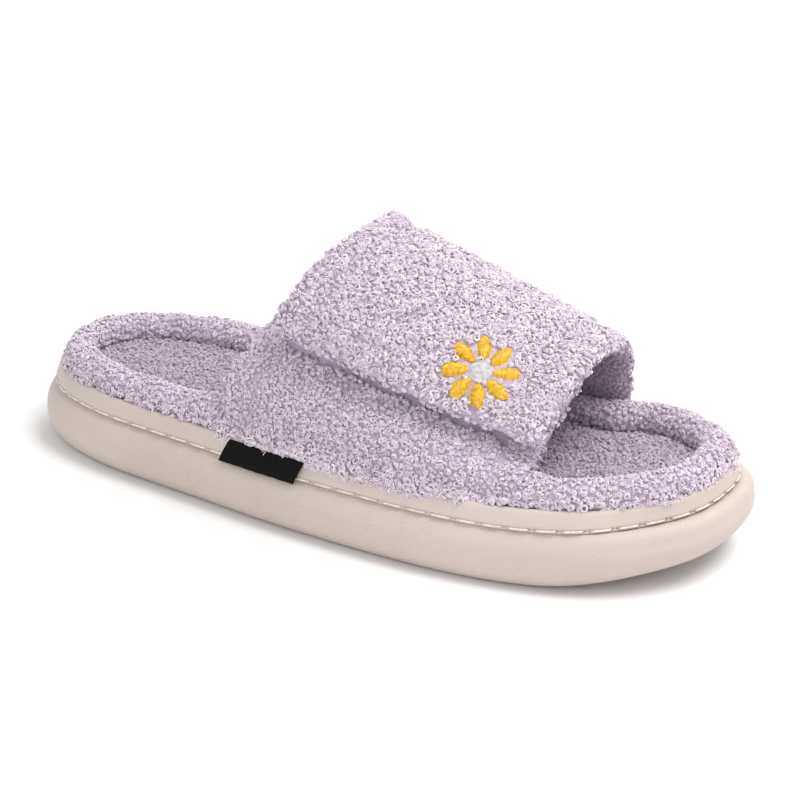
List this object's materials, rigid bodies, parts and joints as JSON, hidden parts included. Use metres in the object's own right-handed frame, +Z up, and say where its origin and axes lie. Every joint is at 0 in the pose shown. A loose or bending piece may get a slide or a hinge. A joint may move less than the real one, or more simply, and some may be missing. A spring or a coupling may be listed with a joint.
{
  "type": "house slipper",
  "caption": "Open-toe fleece slide slipper for the right foot, with a moulded foam sole, a padded footbed and a strap that opens with a peel-back flap.",
  "frame": {"origin": "on the floor, under the middle of the sole's bounding box", "axes": "+X points to the toe, +Y to the medial side of the right foot, +Z up from the floor"},
  "size_m": [0.27, 0.1038, 0.098],
  "materials": {
    "sole_foam": "satin moulded EVA foam with a fine twill texture",
    "side_thread": "waxed sewing thread",
    "insole_board": "matte fibre board",
    "cushion_foam": "open-cell cushion foam",
    "fleece": "curly boucle fleece",
    "footbed_fleece": "short curly fleece",
    "lining": "short curly fleece lining",
    "loop_tape": "brushed loop tape",
    "hook_tape": "moulded nylon hook tape",
    "lilac_thread": "sewing thread",
    "label": "tight woven satin tape",
    "petal_thread": "satin-stitch embroidery thread",
    "centre_thread": "satin-stitch embroidery thread"
  },
  "bodies": {
    "root": {"outsole": "sole_foam", "rand_band": "sole_foam", "side_stitching": "side_thread", "insole_board": "insole_board", "foam_footbed": "cushion_foam", "footbed_cover": "footbed_fleece", "rim_core": "cushion_foam", "rim_cover": "fleece", "lateral_strap_cover": "fleece", "lateral_strap_foam": "cushion_foam", "lateral_strap_lining": "lining", "loop_patch": "loop_tape", "medial_strap_cover": "fleece", "medial_strap_foam": "cushion_foam", "medial_strap_lining": "lining", "medial_topstitching": "lilac_thread", "woven_label": "label"},
    "flap": {"flap_cover": "fleece", "flap_foam": "cushion_foam", "flap_lining": "lining", "flap_topstitching": "lilac_thread", "hook_patch": "hook_tape", "daisy_petals": "petal_thread", "daisy_centre": "centre_thread"}
  },
  "joints": [
    {"name": "flap_peel", "type": "hinge", "parent": "root", "child": "flap", "pos_m": [0.0415, 0.0085, 0.0835], "axis": [-0.9395, 0, 0.3426], "range_deg": [0, 120]}
  ]
}
